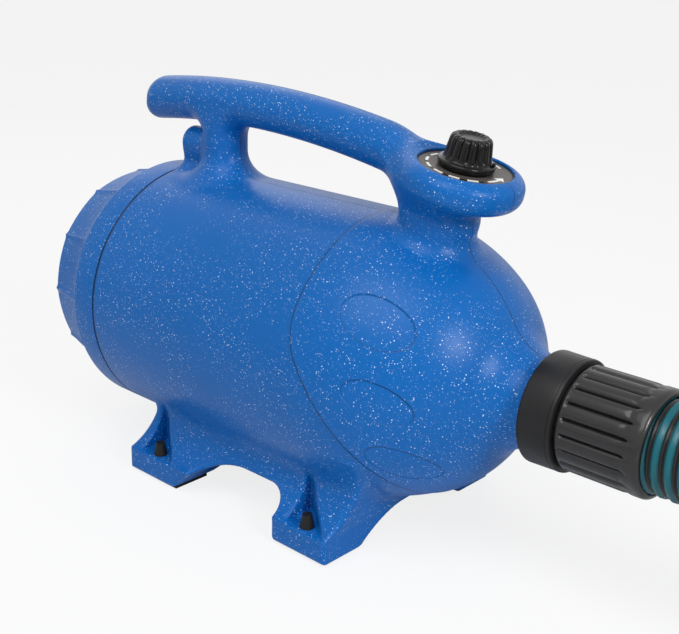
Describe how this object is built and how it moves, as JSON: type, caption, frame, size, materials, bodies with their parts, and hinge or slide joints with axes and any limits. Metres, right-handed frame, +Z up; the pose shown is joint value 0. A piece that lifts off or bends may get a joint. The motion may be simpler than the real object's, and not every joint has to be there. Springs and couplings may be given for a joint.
{
  "type": "pet dryer",
  "caption": "Portable force dryer for pets: moulded barrel with a domed nose, carrying handle with a speed knob, arched feet, and a ribbed hose that ends in a nozzle.",
  "frame": {"origin": "on the floor, below the middle of the dryer without its hose", "axes": "+X forwards to the outlet, +Y to the dryer's left, +Z up"},
  "size_m": [0.9922, 0.5975, 0.2414],
  "materials": {
    "body_blue": "satin, speckled",
    "black_plastic": "satin",
    "knob_black": "glossy",
    "dial_plate": "glossy",
    "mark_white": "printed",
    "rubber_black": "matte",
    "hose_teal": "satin",
    "guard_grey": "satin",
    "foam_grey": "open foam",
    "aluminium": "sheet",
    "cast_aluminium": "cast",
    "steel": "plain",
    "screw_steel": "blackened",
    "laminations": "laminated steel",
    "copper": "enamelled copper wire",
    "carbon": "carbon",
    "brass": "plain",
    "control_body": "moulded",
    "board_green": "circuit board",
    "parts_mixed": "moulded"
  },
  "bodies": {
    "dryer": {"housing_right": "body_blue", "housing_left": "body_blue", "outlet_collar": "black_plastic", "dial_plate": "dial_plate", "dial_marks": "mark_white", "potentiometer": "control_body", "potentiometer_nut": "steel", "speed_board": "board_green", "heat_sink": "aluminium", "board_parts": "parts_mixed", "fan_shell": "aluminium", "stage_diffuser": "aluminium", "motor_base": "cast_aluminium", "motor_frame": "cast_aluminium", "stator_core": "laminations", "field_coils": "copper", "bearing_fan_end": "steel", "bearing_nose_end": "steel", "brush_holders": "brass", "carbon_brushes": "carbon", "brush_springs": "steel", "fan_gasket": "rubber_black", "rear_cushion": "rubber_black", "nose_mount": "rubber_black", "motor_bracket": "cast_aluminium", "rubber_feet": "rubber_black", "housing_screws": "screw_steel", "cord_gland": "black_plastic"},
    "rotor": {"impeller_first": "aluminium", "impeller_second": "aluminium", "armature_core": "laminations", "armature_windings": "copper", "commutator": "copper", "motor_shaft": "steel", "fan_spacers": "aluminium", "shaft_nut": "steel"},
    "knob": {"speed_knob": "knob_black", "potentiometer_shaft": "steel"},
    "inlet_cap": {"rear_cap": "body_blue", "inlet_grille": "guard_grey", "inlet_filter": "foam_grey"},
    "hose_line": {"hose_cuff": "rubber_black", "hose": "hose_teal", "hose_coil": "hose_teal", "nozzle_cuff": "rubber_black", "nozzle": "black_plastic"}
  },
  "joints": [
    {"name": "knob_turn", "type": "hinge", "parent": "dryer", "child": "knob", "pos_m": [0.0965, 0, 0.21465], "axis": [0.1857, 0, 0.9826], "range_deg": [-300, 0]},
    {"name": "rotor_spin", "type": "hinge", "parent": "dryer", "child": "rotor", "pos_m": [0, 0, 0.1], "axis": [1, 0, 0], "continuous": true},
    {"name": "cap_pull", "type": "slide", "parent": "dryer", "child": "inlet_cap", "axis": [-1, 0, 0], "range_m": [0, 0.04]},
    {"name": "hose_pull", "type": "slide", "parent": "dryer", "child": "hose_line", "axis": [1, 0, 0], "range_m": [0, 0.03]}
  ]
}
